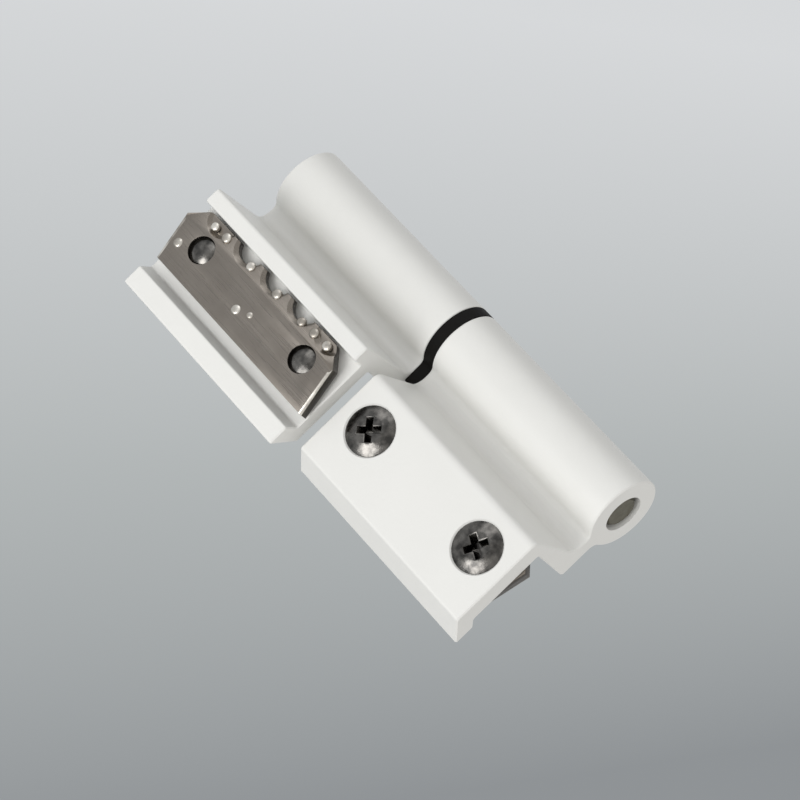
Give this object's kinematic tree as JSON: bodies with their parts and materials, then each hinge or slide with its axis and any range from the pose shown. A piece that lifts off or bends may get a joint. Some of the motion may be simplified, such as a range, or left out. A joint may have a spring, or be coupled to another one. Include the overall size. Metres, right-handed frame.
{
  "type": "two-leaf door hinge with clamp plates",
  "caption": "White barrel hinge for aluminium profile doors; each offset leaf clamps into a hardware groove with a toothed steel plate.",
  "frame": {"origin": "on the pin axis, half way through the black spacer between the two halves of the barrel", "axes": "+Z along the pin towards the upper leaf, +X from the barrel towards the two wings, -Y the side that the upper leaf's screw heads face"},
  "size_m": [0.0644, 0.0427, 0.1398],
  "materials": {
    "white_coat": "fine white powder coat",
    "spacer_plastic": "black polyamide",
    "bush_plastic": "black polyamide",
    "pin_steel": "turned steel",
    "clamp_steel": "stamped stainless steel",
    "screw_steel": "dark burnished steel"
  },
  "bodies": {
    "fixed_leaf": {"lower_leaf": "white_coat", "spacer": "spacer_plastic", "hinge_pin": "pin_steel", "lower_bush": "bush_plastic", "pin_grub_screw": "screw_steel", "lower_clamp_plate": "clamp_steel", "lower_screw_bottom": "screw_steel", "lower_screw_top": "screw_steel"},
    "turning_leaf": {"upper_leaf": "white_coat", "upper_bush": "bush_plastic", "upper_clamp_plate": "clamp_steel", "upper_screw_bottom": "screw_steel", "upper_screw_top": "screw_steel"}
  },
  "joints": [
    {"name": "leaf_swing", "type": "hinge", "parent": "fixed_leaf", "child": "turning_leaf", "pos_m": [0, 0, 0], "axis": [0, 0, 1], "range_deg": [0, 180]}
  ]
}
